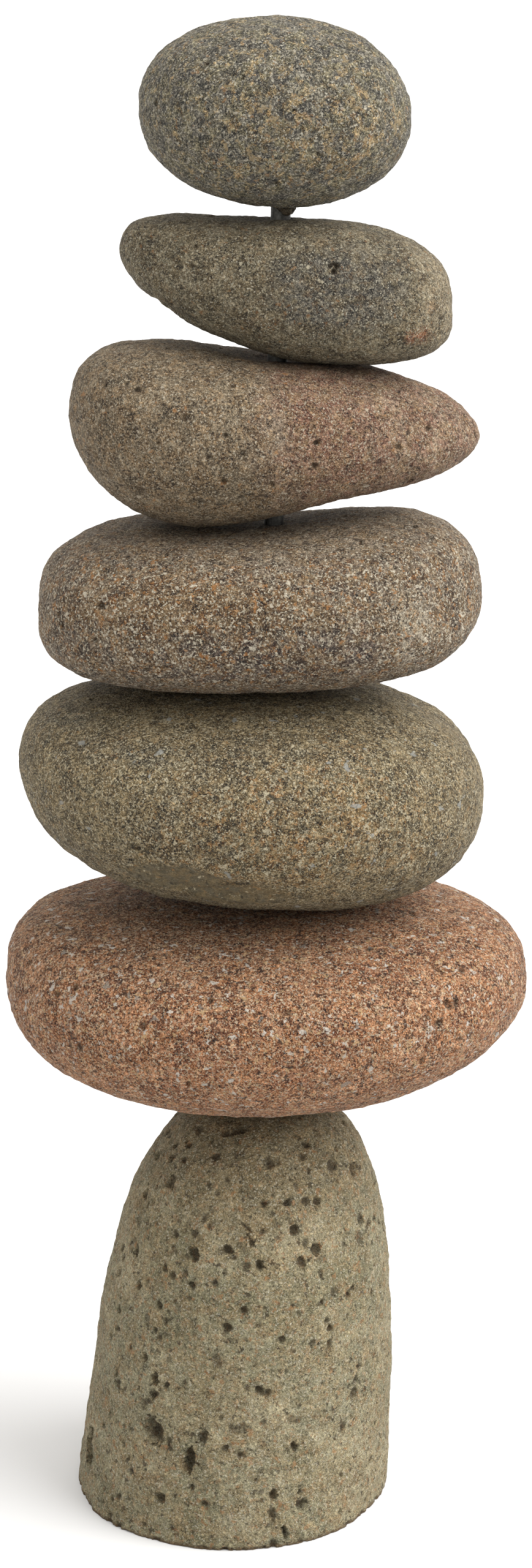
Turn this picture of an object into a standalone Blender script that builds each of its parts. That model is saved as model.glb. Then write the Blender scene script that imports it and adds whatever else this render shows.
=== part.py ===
"""A stone cairn: seven drilled, waterworn stones threaded on one steel rod.

The foot stone is sawn flat and stands on the cut. The red, olive, loaf, tapered and
wedge stones lie on each other above it. The cap stone sits a little clear of the wedge
stone, held by the rod and a bead of set resin.

Blender 4.5: blender --background --python part.py
Metres, +Z up. The origin is the middle of the sawn face, and the front faces -Y.
"""

import math
from dataclasses import dataclass

import bmesh
import bpy
from mathutils import Matrix, Vector, noise
from mathutils.bvhtree import BVHTree

MM = 0.001

# Driving dimensions, in millimetres.
TOUCH_GAP = 0.3          # between stones that rest on each other
CAP_GAP = 6.0            # between the wedge stone and the cap stone
WAVE_LENGTH = 55.0       # of the slow unevenness that water left on every stone
FINE_WAVE = 25.0         # of the second, lower waves on top of it
FINE_SHARE = 0.5         # height of the second waves against the first

ROD_DIAMETER = 9.5
ROD_CLEARANCE = 0.3      # all round, between the rod and its drilled holes
ROD_START = (13.9, 200)  # x, z of a point on the rod's axis, near the foot stone's top
ROD_LEAN = 1.2           # degrees from upright, towards +X
ROD_BOTTOM = 145.0       # heights of the rod's two ends, inside the end stones
ROD_TOP = 686.0
ROD_SIDES = 16

BEAD_MIDDLE = (26.0, -3.0)   # x, y, under the cap stone and against the rod
BEAD_RADIUS = 5.4
BEAD_DROP = 4.0              # how far it hangs below the cap stone
BEAD_LUMP = 0.25             # share of its size that its lumps add or take
BEAD_LUMPS = 1.7             # lumps per radius

STEEL_COLOUR = (0.30, 0.30, 0.29)
STEEL_ROUGHNESS = 0.4
RESIN_COLOUR = (0.05, 0.045, 0.035)
RESIN_ROUGHNESS = 0.5

BALL_SUBDIVISIONS = 4    # of the ball that each stone is drawn from
SHARP_ANGLE = 50         # degrees between two faces that meet in a drawn edge


@dataclass
class Stone:
    """One waterworn stone, seen from the front: x from the origin, z above its sole."""

    name: str
    left: tuple          # left tip
    right: tuple         # right tip
    crest: tuple         # highest point
    sole: tuple          # lowest point
    front: float         # reach forwards and backwards of the rod's plane
    back: float
    girth: float         # x of the deepest section
    upper: tuple         # fullness of the upper left and upper right, 2 is an ellipse
    lower: tuple         # fullness of the lower left and lower right
    plan: tuple          # fullness of the plan's left and right
    section: float       # fullness of the sections across
    blunt: float         # how evenly the surface is shared out towards the two tips
    swells: tuple        # (x, y, z), radius, height of broad swellings, or hollows below 0
    flats: tuple         # (x, y, z) of a worn flat, the way it faces, softness of its edge
    unevenness: float    # height of the slow waves
    colour: tuple
    roughness: float


CAP = Stone(
    name="cap_stone",
    left=(-43, 46), right=(84, 40), crest=(21, 87), sole=(26, 0),
    front=50, back=50, girth=20,
    upper=(2.4, 2.15), lower=(2.2, 2.15), plan=(2.2, 2.2), section=2.1, blunt=2.2,
    swells=(((-32, -10, 70), 18, -1.2), ((50, 30, 60), 30, -1.5)),
    flats=(((-10, 44, 30), (-0.3, 0.9, -0.3), 2.0),),
    unevenness=0.8,
    colour=(0.16, 0.16, 0.15), roughness=0.8,
)
WEDGE = Stone(
    name="wedge_stone",
    left=(-52, 52), right=(104, 22), crest=(-20, 69), sole=(50, 0),
    front=44, back=44, girth=45,
    upper=(3.2, 3.2), lower=(1.64, 2.8), plan=(2.0, 2.6), section=2.4, blunt=2.3,
    swells=(((15, 0, 68), 30, -1.5), ((0, 40, 45), 30, 2.0)),
    flats=(((60, -41, 32), (0.12, -1.0, 0.12), 1.5), ((-10, -25, 17), (-0.45, -0.35, -0.8), 1.2)),
    unevenness=0.8,
    colour=(0.17, 0.16, 0.13), roughness=0.8,
)
TAPERED = Stone(
    name="tapered_stone",
    left=(-77, 55), right=(118, 42), crest=(-42, 89), sole=(-14, 0),
    front=60, back=60, girth=-10,
    upper=(2.5, 1.95), lower=(1.95, 1.6), plan=(2.2, 2.0), section=2.2, blunt=2.3,
    swells=(((18, 0, 82), 28, -6.4), ((46, 0, 10), 34, -8.0)),
    flats=(((20, 50, 40), (0.25, 0.95, 0.1), 3.0),),
    unevenness=0.9,
    colour=(0.22, 0.17, 0.14), roughness=0.8,
)
LOAF = Stone(
    name="loaf_stone",
    left=(-93, 34), right=(120, 44), crest=(62, 82), sole=(8, 0),
    front=78, back=82, girth=15,
    upper=(3.4, 2.9), lower=(2.9, 2.6), plan=(2.6, 2.4), section=2.5, blunt=2.4,
    swells=(((0, -10, 79), 46, -4.5), ((14, 45, 78), 40, -3.5), ((-50, 60, 40), 40, 2.5)),
    flats=(((103, -42, 42), (0.72, -0.66, 0.2), 2.5), ((60, 74, 45), (0.4, 0.85, 0.3), 3.0)),
    unevenness=1.0,
    colour=(0.20, 0.16, 0.13), roughness=0.8,
)
OLIVE = Stone(
    name="olive_stone",
    left=(-103, 71), right=(123, 54), crest=(0, 109), sole=(36, 0),
    front=95, back=105, girth=10,
    upper=(2.9, 2.5), lower=(2.2, 2.25), plan=(2.2, 2.2), section=2.2, blunt=2.2,
    swells=(((114, 0, 84), 22, -2.5), ((30, 90, 40), 45, 3.0)),
    flats=(((-15, -50, 7), (-0.2, -0.5, -0.84), 2.0), ((-62, 70, 80), (-0.5, 0.7, 0.5), 3.0)),
    unevenness=1.0,
    colour=(0.18, 0.16, 0.11), roughness=0.8,
)
RED = Stone(
    name="red_stone",
    left=(-112, 63), right=(145, 62), crest=(8, 102), sole=(16, 0),
    front=104, back=132, girth=16,
    upper=(3.8, 3.4), lower=(2.2, 1.85), plan=(2.3, 2.2), section=2.2, blunt=2.2,
    swells=(((70, 90, 30), 50, -3.0),),
    flats=(((-70, 85, 75), (-0.45, 0.6, 0.66), 3.0),),
    unevenness=1.0,
    colour=(0.36, 0.19, 0.12), roughness=0.8,
)
STACK = (RED, OLIVE, LOAF, TAPERED, WEDGE, CAP)

FOOT_NAME = "foot_stone"
FOOT_HEIGHT = 209.5
FOOT_HALF_WIDTH = 79.5   # of the sawn face
FOOT_HALF_DEPTH = 82.0
FOOT_TAPER = 0.05        # half width lost per unit of height
FOOT_LEAN = 0.066        # sideways shift of the middle per unit of height
FOOT_SHOULDER = 4.3      # fullness of the domed top along the height
FOOT_DOME = 3.0          # and across
FOOT_BLUNT = 3.0         # spreads the rings evenly down the wall
FOOT_SIDES = 28
FOOT_RINGS = 20
FOOT_SWELLS = (((-78, -10, 28), 32, 2.5), ((72, -36, 2), 24, -2.5), ((-71, -20, 66), 16, -1.5))
FOOT_UNEVENNESS = 1.6
FOOT_COLOUR = (0.24, 0.22, 0.16)
FOOT_ROUGHNESS = 0.9

# The foot stone's largest gas pits: degrees round from the front, height, then the
# width, the height and the depth of the opening.
PITS = (
    (-31, 57, 8.0, 14.0, 5.0),
    (-17, 48, 4.0, 13.0, 5.0),
    (-71, 27, 7.0, 16.0, 5.0),
    (-33, 84, 5.0, 6.0, 4.0),
    (12, 27, 5.5, 7.0, 4.0),
    (17, 10, 5.0, 9.0, 4.0),
    (-23, 150, 7.0, 6.5, 4.0),
    (128, 96, 7.0, 8.0, 4.0),
    (171, 41, 8.0, 12.0, 5.0),
    (-152, 118, 6.0, 8.0, 4.0),
)


def clear_scene():
    for old in list(bpy.data.objects):
        bpy.data.objects.remove(old, do_unlink=True)


def make_material(name, colour, roughness, metallic=0.0):
    material = bpy.data.materials.new(name)
    material.use_nodes = True
    shader = material.node_tree.nodes["Principled BSDF"]
    shader.inputs["Base Color"].default_value = (*colour, 1.0)
    shader.inputs["Roughness"].default_value = roughness
    shader.inputs["Metallic"].default_value = metallic
    return material


def ball(subdivisions):
    mesh = bmesh.new()
    bmesh.ops.create_icosphere(mesh, subdivisions=subdivisions, radius=1.0)
    return mesh


def to_metres(mesh):
    bmesh.ops.scale(mesh, vec=(MM, MM, MM), verts=mesh.verts)


def arch(share, fullness):
    """Height of a rounded outline, from 1 at its middle to 0 at its tip (share 1)."""
    share = min(abs(share), 1.0)
    return (1.0 - share ** fullness) ** (1.0 / fullness)


def outline(x, peak, left, right, fullness):
    """Height at x of a curve that rises from the left tip to a peak and falls again."""
    if x < peak[0]:
        share = (peak[0] - x) / (peak[0] - left[0])
        return left[1] + (peak[1] - left[1]) * arch(share, fullness[0])
    share = (x - peak[0]) / (right[0] - peak[0])
    return right[1] + (peak[1] - right[1]) * arch(share, fullness[1])


def rounded(a, b, fullness):
    """Distance that turns a circle into a fuller or slimmer rounded square."""
    return (abs(a) ** fullness + abs(b) ** fullness) ** (1.0 / fullness)


def pebble_point(stone, on_ball):
    """Where a point of a unit ball goes on the stone, in millimetres."""
    across = max(math.hypot(on_ball.y, on_ball.z), 1e-9)
    share = on_ball.x / rounded(on_ball.x, across, stone.blunt)
    length = stone.right[0] - stone.left[0]
    x = (stone.left[0] + stone.right[0] + length * share) / 2

    top = outline(x, stone.crest, stone.left, stone.right, stone.upper)
    bottom = outline(x, stone.sole, stone.left, stone.right, stone.lower)
    waist = stone.left[1] + (stone.right[1] - stone.left[1]) * (x - stone.left[0]) / length
    waist = min(max(waist, bottom), top)
    left_end = (stone.left[0], 0.0)
    right_end = (stone.right[0], 0.0)
    depth = outline(x, (stone.girth, 1.0), left_end, right_end, stone.plan)

    side = on_ball.y / across
    up = on_ball.z / across
    corner = rounded(side, up, stone.section)
    reach = stone.front if side < 0 else stone.back
    rise = top - waist if up > 0 else waist - bottom
    return Vector((x, side / corner * reach * depth, waist + up / corner * rise))


def swell(mesh, middle, radius, height):
    """Raises a broad swelling on the surface, or sinks a hollow where height is negative."""
    mesh.normal_update()
    for vert in mesh.verts:
        distance = (vert.co - Vector(middle)).length
        vert.co += vert.normal * height * math.exp(-(distance / radius) ** 2)


def wear_flat(mesh, point, facing, edge):
    """Pulls what stands out beyond a plane back to it, with a soft edge."""
    facing = Vector(facing).normalized()
    for vert in mesh.verts:
        proud = (vert.co - Vector(point)).dot(facing)
        if proud > 0.0:
            kept = edge * (1.0 - math.exp(-proud / edge))
            vert.co -= facing * (proud - kept)


def weather(mesh, height, seed):
    """Slow waves all over a surface, as water leaves them."""
    mesh.normal_update()
    offset = Vector((seed, seed * 0.37, seed * 0.71))
    for vert in mesh.verts:
        broad = noise.noise(vert.co / WAVE_LENGTH + offset)
        fine = noise.noise(vert.co / FINE_WAVE - offset)
        vert.co += vert.normal * height * (broad + FINE_SHARE * fine)


def pebble(stone, seed):
    mesh = ball(BALL_SUBDIVISIONS)
    for vert in mesh.verts:
        vert.co = pebble_point(stone, vert.co)
    for middle, radius, height in stone.swells:
        swell(mesh, middle, radius, height)
    for point, facing, edge in stone.flats:
        wear_flat(mesh, point, facing, edge)
    weather(mesh, stone.unevenness, seed)
    to_metres(mesh)
    return mesh


def foot_point(on_ball):
    """The foot is one end of a long stone, so here the ball is drawn out upwards."""
    across = max(math.hypot(on_ball.x, on_ball.y), 1e-9)
    share = on_ball.z / rounded(on_ball.z, across, FOOT_BLUNT)
    z = FOOT_HEIGHT * share
    dome = (1.0 - abs(share) ** FOOT_SHOULDER) ** (1.0 / FOOT_DOME)
    half_width = (FOOT_HALF_WIDTH - FOOT_TAPER * z) * dome
    half_depth = (FOOT_HALF_DEPTH - FOOT_TAPER * z) * dome
    x = FOOT_LEAN * z + on_ball.x / across * half_width
    return Vector((x, on_ball.y / across * half_depth, z))


def saw_flat(mesh):
    """Cuts the mesh off at height 0 and closes it with one flat face."""
    everything = mesh.verts[:] + mesh.edges[:] + mesh.faces[:]
    cut = bmesh.ops.bisect_plane(
        mesh, geom=everything, plane_co=(0, 0, 0), plane_no=(0, 0, 1), clear_inner=True)
    rim = [piece for piece in cut["geom_cut"] if isinstance(piece, bmesh.types.BMEdge)]
    bmesh.ops.edgeloop_fill(mesh, edges=rim)
    bmesh.ops.recalc_face_normals(mesh, faces=mesh.faces)


def foot_stone():
    mesh = bmesh.new()
    bmesh.ops.create_uvsphere(
        mesh, u_segments=FOOT_SIDES, v_segments=FOOT_RINGS, radius=1.0)
    for vert in mesh.verts:
        vert.co = foot_point(vert.co)
    for middle, radius, height in FOOT_SWELLS:
        swell(mesh, middle, radius, height)
    weather(mesh, FOOT_UNEVENNESS, len(STACK) + 1)
    to_metres(mesh)
    saw_flat(mesh)
    return mesh


def pit_cutters(foot):
    """One egg-shaped cutter for each pit, set into the wall of the foot stone."""
    wall = BVHTree.FromBMesh(foot)
    cutters = bmesh.new()
    for turn, height, wide, tall, deep in PITS:
        outward = Vector((math.sin(math.radians(turn)), -math.cos(math.radians(turn)), 0))
        middle = Vector((FOOT_LEAN * height, 0, height)) * MM
        opening, facing = wall.ray_cast(middle, outward)[:2]
        place = Matrix.Translation(opening) @ facing.to_track_quat("Y", "Z").to_matrix().to_4x4()
        size = Matrix.Diagonal((wide / 2 * MM, deep * MM, tall / 2 * MM, 1))
        bmesh.ops.create_icosphere(cutters, subdivisions=2, radius=1.0, matrix=place @ size)
    return cutters


def underside(tree, x, y):
    """The lowest point of a mesh on one upright line, or None where the line misses it."""
    return tree.ray_cast(Vector((x, y, -1)), Vector((0, 0, 1)))[0]


def upperside(tree, x, y):
    return tree.ray_cast(Vector((x, y, 2)), Vector((0, 0, -1)))[0]


def settle(upper, lower, gap):
    """Lowers or lifts a stone until it is the given gap above the one below it."""
    upper_tree = BVHTree.FromBMesh(upper)
    lower_tree = BVHTree.FromBMesh(lower)
    gaps = []
    for vert in upper.verts[:] + lower.verts[:]:
        under = underside(upper_tree, vert.co.x, vert.co.y)
        over = upperside(lower_tree, vert.co.x, vert.co.y)
        if under and over:
            gaps.append(under.z - over.z)
    drop = min(gaps) - gap * MM
    bmesh.ops.translate(upper, vec=(0, 0, -drop), verts=upper.verts)


def rod_shape(diameter, bottom, top):
    """A cylinder on the rod's leaning axis, between two heights."""
    mesh = bmesh.new()
    lean = math.radians(ROD_LEAN)
    middle = (bottom + top) / 2
    x = ROD_START[0] + (middle - ROD_START[1]) * math.tan(lean)
    place = Matrix.Translation(Vector((x, 0, middle)) * MM) @ Matrix.Rotation(lean, 4, "Y")
    bmesh.ops.create_cone(
        mesh, cap_ends=True, segments=ROD_SIDES, depth=(top - bottom) / math.cos(lean) * MM,
        radius1=diameter / 2 * MM, radius2=diameter / 2 * MM, matrix=place)
    return mesh


def resin_bead(cap):
    """A blob in the corner between the rod and the cap stone, just clear of the stone."""
    ceiling = BVHTree.FromBMesh(cap)
    mesh = ball(2)
    middle = underside(ceiling, BEAD_MIDDLE[0] * MM, BEAD_MIDDLE[1] * MM)
    for vert in mesh.verts:
        lump = 1.0 + BEAD_LUMP * noise.noise(vert.co * BEAD_LUMPS)
        spread = BEAD_RADIUS * lump * MM
        vert.co = middle + Vector((vert.co.x * spread, vert.co.y * spread,
                                   vert.co.z * BEAD_DROP * lump * MM))
        limit = underside(ceiling, vert.co.x, vert.co.y)
        vert.co.z = min(vert.co.z, limit.z - TOUCH_GAP * MM)
    return mesh


def add_object(mesh, name):
    data = bpy.data.meshes.new(name)
    mesh.to_mesh(data)
    mesh.free()
    thing = bpy.data.objects.new(name, data)
    bpy.context.scene.collection.objects.link(thing)
    return thing


def add_piece(mesh, name, material):
    thing = add_object(mesh, name)
    thing.data.materials.append(material)
    thing.data.shade_smooth()
    thing.data.set_sharp_from_angle(angle=math.radians(SHARP_ANGLE))
    return thing


def add_cutter(mesh, name):
    cutter = add_object(mesh, name)
    cutter.hide_render = True
    cutter.display_type = "WIRE"
    return cutter


def cut(thing, cutter):
    boolean = thing.modifiers.new(cutter.name, "BOOLEAN")
    boolean.operation = "DIFFERENCE"
    boolean.solver = "EXACT"
    boolean.object = cutter


def main():
    clear_scene()
    hole = ROD_DIAMETER + 2 * ROD_CLEARANCE
    drill = add_cutter(
        rod_shape(hole, ROD_BOTTOM - ROD_CLEARANCE, ROD_TOP + ROD_CLEARANCE), "drill")

    foot = foot_stone()
    pits = add_cutter(pit_cutters(foot), "pits")
    below = foot
    stones = []
    for seed, stone in enumerate(STACK, start=1):
        mesh = pebble(stone, seed)
        settle(mesh, below, CAP_GAP if stone is CAP else TOUCH_GAP)
        stones.append((stone, mesh))
        below = mesh
    bead = resin_bead(below)

    foot_piece = add_piece(foot, FOOT_NAME, make_material(FOOT_NAME, FOOT_COLOUR, FOOT_ROUGHNESS))
    cut(foot_piece, pits)
    cut(foot_piece, drill)
    for stone, mesh in stones:
        material = make_material(stone.name, stone.colour, stone.roughness)
        cut(add_piece(mesh, stone.name, material), drill)
    steel = make_material("steel", STEEL_COLOUR, STEEL_ROUGHNESS, metallic=1.0)
    add_piece(rod_shape(ROD_DIAMETER, ROD_BOTTOM, ROD_TOP), "rod", steel)
    resin = make_material("resin", RESIN_COLOUR, RESIN_ROUGHNESS)
    cut(add_piece(bead, "glue_bead", resin), drill)


main()
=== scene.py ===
# %% [markdown]
# # A stone cairn
#
# Seven waterworn stones are threaded on one steel rod. The foot stone is a pitted volcanic
# rock that was sawn flat. The six above it are river stones, each of another rock.
# The construction comes packed, as plain solids. This lesson gives every stone its skin:
# small lumps, pits and grain as real geometry, and a rock finish made of nodes.

# %% Load the frame
import math
import random
from dataclasses import dataclass

import bmesh
import bpy
from mathutils import Matrix, Vector, noise
from mathutils.bvhtree import BVHTree
from mathutils.kdtree import KDTree


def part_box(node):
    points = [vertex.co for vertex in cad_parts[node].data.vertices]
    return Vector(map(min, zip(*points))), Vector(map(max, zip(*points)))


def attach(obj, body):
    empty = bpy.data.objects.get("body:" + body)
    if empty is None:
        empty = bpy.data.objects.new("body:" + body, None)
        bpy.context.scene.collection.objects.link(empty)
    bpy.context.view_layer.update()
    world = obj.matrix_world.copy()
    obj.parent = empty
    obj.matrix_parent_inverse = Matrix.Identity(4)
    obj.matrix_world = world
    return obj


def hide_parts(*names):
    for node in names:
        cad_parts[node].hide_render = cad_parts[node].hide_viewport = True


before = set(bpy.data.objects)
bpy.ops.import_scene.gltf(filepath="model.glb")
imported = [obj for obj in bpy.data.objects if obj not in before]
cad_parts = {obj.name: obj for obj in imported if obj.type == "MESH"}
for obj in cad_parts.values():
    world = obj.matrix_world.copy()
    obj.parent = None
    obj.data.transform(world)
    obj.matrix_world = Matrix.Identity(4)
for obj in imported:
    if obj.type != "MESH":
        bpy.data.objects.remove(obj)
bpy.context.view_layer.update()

MM = 0.001
UP = Vector((0, 0, 1))
print("nodes:", ", ".join(sorted(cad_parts)))

# %% [markdown]
# ## The camera, the floor and the light
#
# A tall thing is looked at from a little above its top with a long lens, so that its outline
# stays true. The camera could be aimed with a constraint, but one plain angle is easier to
# read. The floor is one pale sheet, big enough to be the background as well.
# A wide, soft sun on the right models the stones. The world fills the shadows, and is
# brightest overhead, as a studio with a softbox under its ceiling is.

# %% Camera
CAMERA_PLACE = (0.0164, -1.630, 0.811)
CAMERA_PITCH = 15.15        # degrees down from level
LENS = 79.45
SENSOR = 36.0

lens = bpy.data.cameras.new("camera")
lens.lens = LENS
lens.sensor_width = SENSOR
camera = bpy.data.objects.new("camera", lens)
camera.location = CAMERA_PLACE
camera.rotation_euler = (math.radians(90 - CAMERA_PITCH), 0, 0)
bpy.context.scene.collection.objects.link(camera)
bpy.context.scene.camera = camera
bpy.context.scene.view_settings.view_transform = "Standard"
print("camera", CAMERA_PITCH, "degrees down,", LENS, "mm lens")

# %% Floor
FLOOR_HALF = 60.0
FLOOR_DROP = 0.0002         # keeps the floor off the sawn face
FLOOR_COLOUR = (0.6, 0.6, 0.6, 1.0)
FLOOR_ROUGHNESS = 0.9

grid = bmesh.new()
bmesh.ops.create_grid(grid, x_segments=1, y_segments=1, size=FLOOR_HALF)
bmesh.ops.translate(grid, verts=grid.verts, vec=(0, 0, -FLOOR_DROP))
floor_mesh = bpy.data.meshes.new("floor")
grid.to_mesh(floor_mesh)
grid.free()
floor = bpy.data.objects.new("floor", floor_mesh)
bpy.context.scene.collection.objects.link(floor)
paint = bpy.data.materials.new("floor_paint")
paint.use_nodes = True
coat = paint.node_tree.nodes["Principled BSDF"]
coat.inputs["Base Color"].default_value = FLOOR_COLOUR
coat.inputs["Roughness"].default_value = FLOOR_ROUGHNESS
floor.data.materials.append(paint)
print("floor", 2 * FLOOR_HALF, "m wide")

# %% Light
SUN_STRENGTH = 4.5
SUN_TURN = 72               # degrees to the right of the camera
SUN_RISE = 41               # degrees above the horizon
SUN_SOFTNESS = 55           # degrees across
WORLD_LOW = 1.0             # strength at the horizon
WORLD_HIGH = 1.8            # strength overhead
WORLD_COLOUR = (1.0, 0.985, 0.96, 1.0)

lamp = bpy.data.lights.new("key", "SUN")
lamp.energy = SUN_STRENGTH
lamp.angle = math.radians(SUN_SOFTNESS)
key = bpy.data.objects.new("key", lamp)
key.rotation_euler = (math.radians(90 - SUN_RISE), 0, math.radians(SUN_TURN))
bpy.context.scene.collection.objects.link(key)

world = bpy.data.worlds.new("studio")
world.use_nodes = True
sky = world.node_tree
direction = sky.nodes.new("ShaderNodeTexCoord")
parts = sky.nodes.new("ShaderNodeSeparateXYZ")
dome = sky.nodes.new("ShaderNodeMapRange")
dome.inputs["To Min"].default_value = WORLD_LOW
dome.inputs["To Max"].default_value = WORLD_HIGH
sky.links.new(direction.outputs["Generated"], parts.inputs["Vector"])
sky.links.new(parts.outputs["Z"], dome.inputs["Value"])
sky.links.new(dome.outputs["Result"], sky.nodes["Background"].inputs["Strength"])
sky.nodes["Background"].inputs["Color"].default_value = WORLD_COLOUR
bpy.context.scene.world = world
print("sun", SUN_TURN, "degrees to the right, world", WORLD_LOW, "to", WORLD_HIGH)

# %% [markdown]
# ## From a solid to a skin
#
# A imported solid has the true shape, with flat facets and a drilled hole. A saw or a drill
# leaves a sharp edge where it leaves the stone, so every closed ring of sharp edges bounds
# something that was cut. The mesh is split along its sharp edges, the largest part is kept,
# and what is open is filled: that is the stone before it was worked.
# Its facets could be hidden by smooth shading, but they would still show on the outline.
# So the Subdivision Surface modifier rounds them, and the Remesh modifier lays one even net
# of small cells over the result, fine enough to carry pits and grit.

# %% The stone before it was cut
WELD = 1e-6
CUT_ANGLE = math.radians(48)


def islands(mesh):
    """The faces in connected groups, the largest group first."""
    left = set(mesh.faces)
    groups = []
    while left:
        queue = [left.pop()]
        group = list(queue)
        while queue:
            for edge in queue.pop().edges:
                near = [face for face in edge.link_faces if face in left]
                left.difference_update(near)
                group.extend(near)
                queue.extend(near)
        groups.append(group)
    return sorted(groups, key=len, reverse=True)


def uncut_shell(node):
    """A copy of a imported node, with what was sawn or drilled taken off it."""
    shell = bmesh.new()
    shell.from_mesh(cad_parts[node].data)
    bmesh.ops.remove_doubles(shell, verts=shell.verts, dist=WELD)
    sharp = [edge for edge in shell.edges if edge.calc_face_angle(0.0) > CUT_ANGLE]
    bmesh.ops.split_edges(shell, edges=sharp)
    groups = islands(shell)
    cuts = [face for group in groups[1:] for face in group]
    bmesh.ops.delete(shell, geom=cuts, context="FACES")
    bmesh.ops.remove_doubles(shell, verts=shell.verts, dist=WELD)
    print(f"{node}: {len(groups) - 1} cuts taken off, {len(shell.faces)} faces left")
    return shell


def fill_openings(shell, lowest=-1.0):
    """Closes every open edge loop that lies above a height."""
    open_edges = [edge for edge in shell.edges
                  if edge.is_boundary and min(v.co.z for v in edge.verts) > lowest]
    bmesh.ops.holes_fill(shell, edges=open_edges)


# %% An even net of cells
ROUNDING_LEVELS = 2
SMOOTHING_ROUNDS = 8
SMOOTHING = 0.5             # how far each round moves a point towards its neighbours


def add_object(mesh, name):
    """A new object in the scene with the bmesh's faces, which is then let go."""
    data = bpy.data.meshes.new(name)
    mesh.to_mesh(data)
    mesh.free()
    thing = bpy.data.objects.new(name, data)
    bpy.context.scene.collection.objects.link(thing)
    return thing


def applied(thing):
    """The mesh that an object's modifiers make, as a bmesh. The object is removed."""
    view = bpy.context.evaluated_depsgraph_get()
    data = bpy.data.meshes.new_from_object(thing.evaluated_get(view))
    bpy.data.objects.remove(thing)
    mesh = bmesh.new()
    mesh.from_mesh(data)
    return mesh


def even_skin(shell, cell):
    """A closed skin of square cells, this many millimetres wide."""
    thing = add_object(shell, "rough")
    rounding = thing.modifiers.new("rounding", "SUBSURF")
    rounding.levels = ROUNDING_LEVELS
    rounding.render_levels = ROUNDING_LEVELS
    net = thing.modifiers.new("net", "REMESH")
    net.mode = "VOXEL"
    net.voxel_size = cell * MM
    skin = applied(thing)
    for _ in range(SMOOTHING_ROUNDS):
        bmesh.ops.smooth_vert(skin, verts=skin.verts, factor=SMOOTHING,
                              use_axis_x=True, use_axis_y=True, use_axis_z=True)
    return skin


# %% [markdown]
# ## Weather and pits
#
# Water rounds a stone but never evenly, so slow and quick waves of noise lift and sink the
# skin along its normals. Gas bubbles and lost crystals leave pits. A pit is a dent with a
# steep wall and a ragged outline. It could be cut with a Boolean, but hundreds of small cuts
# are slow and leave thin faces, so the points inside its outline are pushed in instead.
# How deep a point lies in its pit is kept in the attribute "hollow", which the finish reads to paint
# shade into the pit.

# %% Waves
WAVE_SHIFT = (3.1, 1.7, 2.3)    # per seed, so that no two stones have the same waves


def weather(skin, waves, seed):
    """Waves of (length, height) in millimetres, along the normals."""
    skin.normal_update()
    shift = Vector([seed * step for step in WAVE_SHIFT])
    for vert in skin.verts:
        rise = sum(height * noise.noise(vert.co / (length * MM) + shift)
                   for length, height in waves)
        vert.co += vert.normal * rise * MM


# %% Pits
RAGGED = 0.5                # how far noise moves a pit's outline
RAGGED_LENGTH = 1.8 * MM
DARK_FROM = 1.2 * MM        # pits this deep have fully dark floors
GROUND_RAGGED = 0.3
GROUND_LENGTH = 14 * MM
GROUND_STEEPNESS = 3.0
REFINE_FROM = 2.1           # pits this wide get cells of half the size, in millimetres
PIT_REACH = 0.75            # share of its size within which a pit moves points


@dataclass
class Pit:
    """A dent in a skin. Sizes are in metres, the lean in degrees from upright."""

    place: Vector
    facing: Vector
    wide: float
    tall: float
    deep: float
    lean: float = 0.0

    def reach(self):
        return max(self.wide, self.tall) * PIT_REACH


def frame_of(pit):
    """The directions across and along a pit."""
    side = UP.cross(pit.facing).normalized()
    side.rotate(Matrix.Rotation(math.radians(pit.lean), 3, pit.facing))
    return side, pit.facing.cross(side)


def near_points(skin, pits):
    """For each pit, the indices of the points in its reach."""
    tree = KDTree(len(skin.verts))
    for index, vert in enumerate(skin.verts):
        tree.insert(vert.co, index)
    tree.balance()
    return [[found[1] for found in tree.find_range(pit.place, pit.reach())] for pit in pits]


def refine(skin, pits):
    """Halves the cells under the wide pits."""
    wide = [pit for pit in pits if max(pit.wide, pit.tall) > REFINE_FROM * MM]
    marked = set(index for group in near_points(skin, wide) for index in group)
    edges = [edge for edge in skin.edges if all(v.index in marked for v in edge.verts)]
    bmesh.ops.subdivide_edges(skin, edges=edges, cuts=1, use_grid_fill=True)
    skin.verts.index_update()


def sink(skin, pits, seed):
    """Pushes the points of each pit in, and notes how deep they lie."""
    refine(skin, pits)
    skin.verts.ensure_lookup_table()
    hollow = skin.verts.layers.float.new("hollow")
    shift = Vector((seed, seed * 2, seed * 3))
    start = [vert.co.copy() for vert in skin.verts]
    for pit, group in zip(pits, near_points(skin, pits)):
        side, rise = frame_of(pit)
        for index in group:
            away = start[index] - pit.place
            across = away.dot(side) / (pit.wide / 2)
            along = away.dot(rise) / (pit.tall / 2)
            ragged = 1.0 + RAGGED * noise.noise(start[index] / RAGGED_LENGTH + shift)
            share = math.hypot(across, along) * ragged
            if share < 1.0:
                sunk = math.sqrt(1.0 - share * share)
                vert = skin.verts[index]
                vert.co -= pit.facing * pit.deep * max(sunk - vert[hollow], 0.0)
                vert[hollow] = max(vert[hollow], sunk * min(pit.deep / DARK_FROM, 1.0))


# %% Ground places
def ground(skin, rows):
    """Flat places in the front with a crisp edge, from rows like those of the pits."""
    for flat in front_pits(skin, rows):
        side, rise = frame_of(flat)
        for vert in skin.verts:
            away = vert.co - flat.place
            share = math.hypot(away.dot(side) / (flat.wide / 2), away.dot(rise) / (flat.tall / 2))
            share *= 1.0 + GROUND_RAGGED * noise.noise(vert.co / GROUND_LENGTH)
            if share < 1.0 and away.length < flat.reach():
                vert.co -= flat.facing * flat.deep * min((1.0 - share) * GROUND_STEEPNESS, 1.0)


# %% Where the pits are
PIT_TALLNESS = (0.8, 1.5)   # least and most height of a seeded pit, as shares of its width
PIT_DEPTH = (0.3, 0.5)      # the same for its depth
PIT_LEAN = 40               # most degrees either way


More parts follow.
